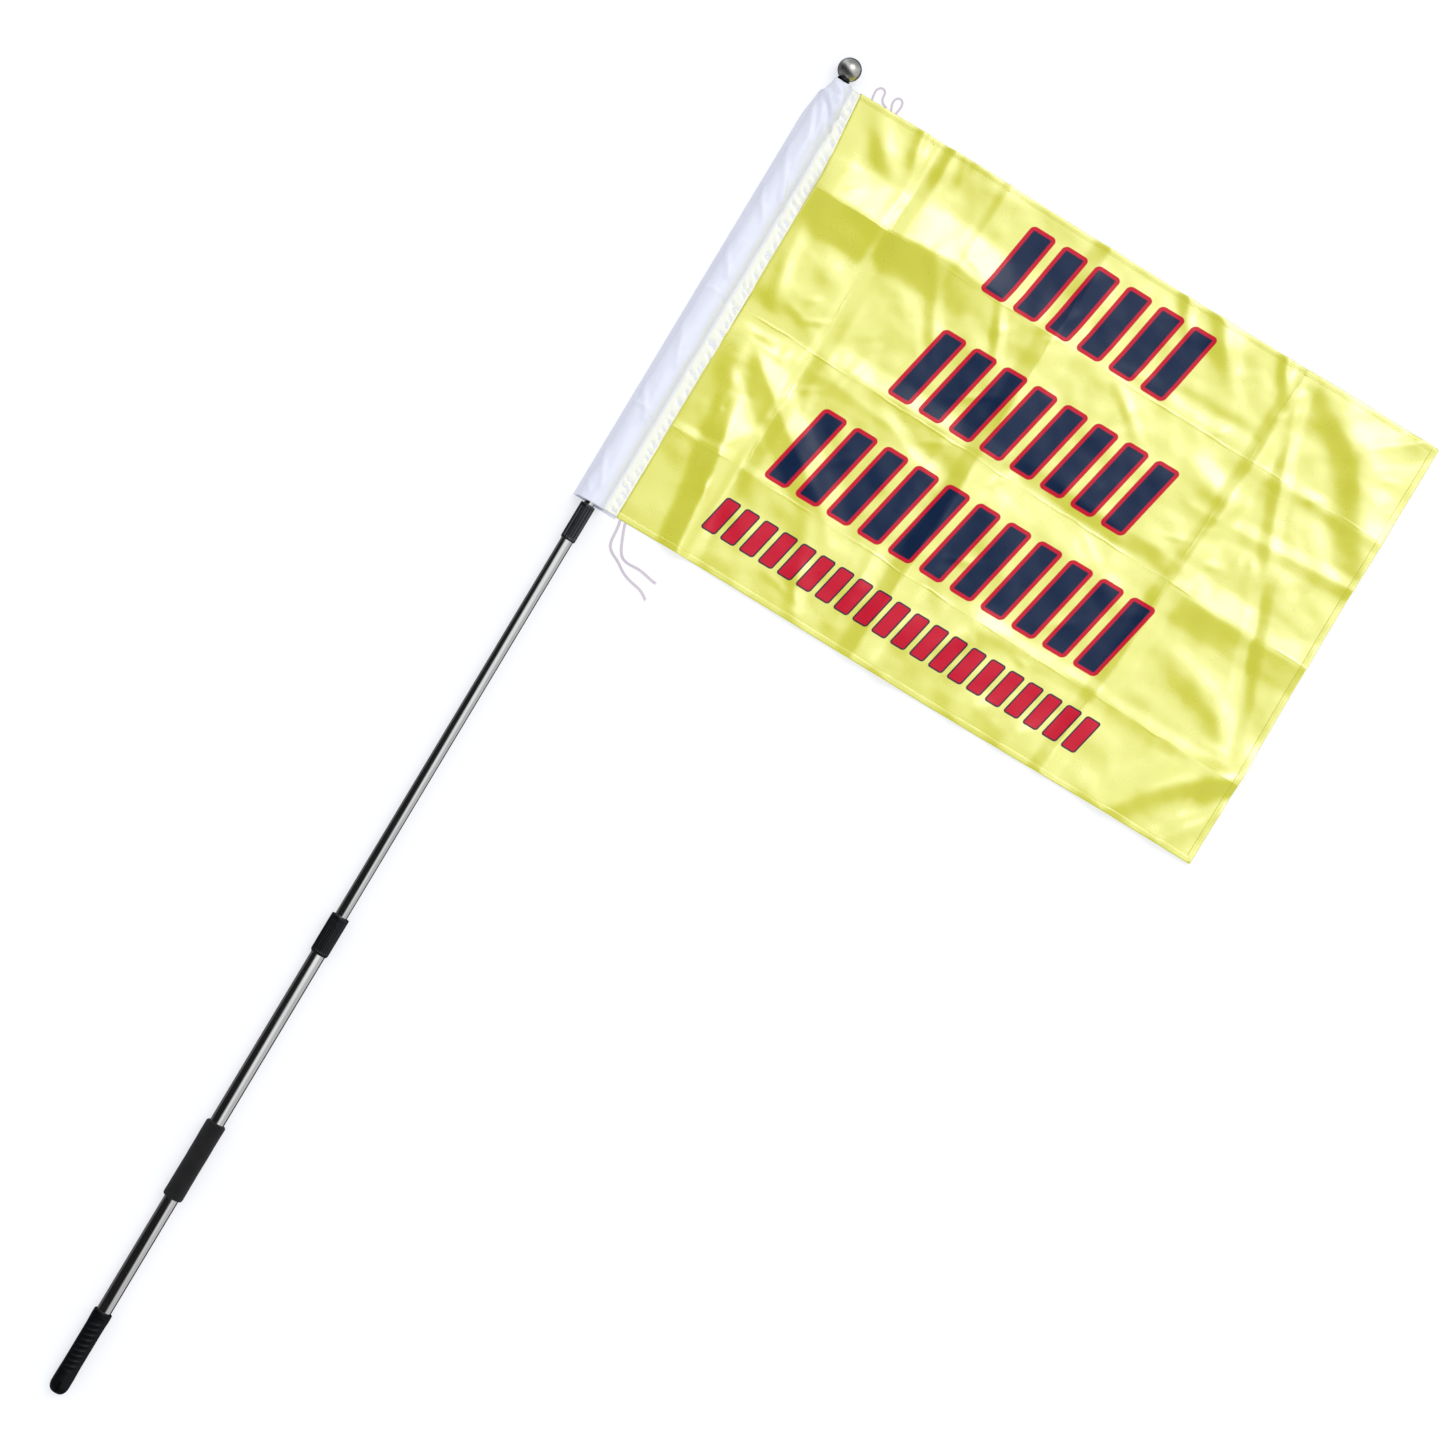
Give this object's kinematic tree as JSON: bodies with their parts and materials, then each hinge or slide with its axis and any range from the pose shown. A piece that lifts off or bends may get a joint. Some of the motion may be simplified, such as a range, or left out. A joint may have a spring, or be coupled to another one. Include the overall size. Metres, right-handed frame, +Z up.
{
  "type": "telescopic flagpole with flag",
  "caption": "Telescopic steel hand flagpole with twist-lock collars, foam and rubber grips, ball finial and a rectangular satin flag on a pole sleeve, lying flat.",
  "frame": {"origin": "centre of the bounding box's base, on the surface that the flag lies on", "axes": "+Y along the pole from butt to ball, +X from the flag's hoist to its fly, +Z up from the surface"},
  "size_m": [0.8846, 1.9096, 0.03],
  "materials": {
    "steel_tube": "polished",
    "steel_ball": "satin",
    "steel_fastener": "satin",
    "black_plastic": "satin",
    "white_plastic": "satin",
    "grip_rubber": "matte",
    "grip_foam": "matte",
    "yellow_cloth": "satin",
    "white_cloth": "satin",
    "tie_string": "matte"
  },
  "bodies": {
    "outer_section": {"handle_grip": "grip_rubber", "outer_tube": "steel_tube", "foam_grip": "grip_foam", "lower_collar": "black_plastic", "lower_guide_bush": "white_plastic"},
    "lower_lock": {"lower_expander": "white_plastic"},
    "middle_section": {"lower_lock_screw": "steel_fastener", "lower_lock_plug": "black_plastic", "middle_tube": "steel_tube", "upper_collar": "black_plastic", "upper_guide_bush": "white_plastic"},
    "upper_lock": {"upper_expander": "white_plastic"},
    "top_section": {"upper_lock_screw": "steel_fastener", "upper_lock_plug": "black_plastic", "top_tube": "steel_tube", "finial_plug": "black_plastic", "finial_stud": "steel_fastener", "finial_neck": "black_plastic", "finial_ball": "steel_ball"},
    "flag": {"flag_panel": "yellow_cloth", "bottom_hem": "yellow_cloth", "top_hem": "yellow_cloth", "fly_hem": "yellow_cloth", "sleeve_seam": "white_cloth", "pole_sleeve": "white_cloth", "bottom_tie_long": "tie_string", "bottom_tie_short": "tie_string", "top_tie_inner": "tie_string", "top_tie_outer": "tie_string"}
  },
  "joints": [
    {"name": "lower_slide", "type": "slide", "parent": "outer_section", "child": "lower_lock", "axis": [0, -1, 0], "range_m": [0, 0.538]},
    {"name": "lower_twist", "type": "hinge", "parent": "lower_lock", "child": "middle_section", "pos_m": [-0.41875, -0.33, 0.015], "axis": [0, -1, 0], "range_deg": [0, 180]},
    {"name": "upper_slide", "type": "slide", "parent": "middle_section", "child": "upper_lock", "axis": [0, -1, 0], "range_m": [0, 0.535]},
    {"name": "upper_twist", "type": "hinge", "parent": "upper_lock", "child": "top_section", "pos_m": [-0.41875, 0.26, 0.015], "axis": [0, -1, 0], "range_deg": [0, 180]},
    {"name": "flag_swing", "type": "hinge", "parent": "top_section", "child": "flag", "pos_m": [-0.41875, 0.62, 0.015], "axis": [0, -1, 0], "continuous": true}
  ]
}
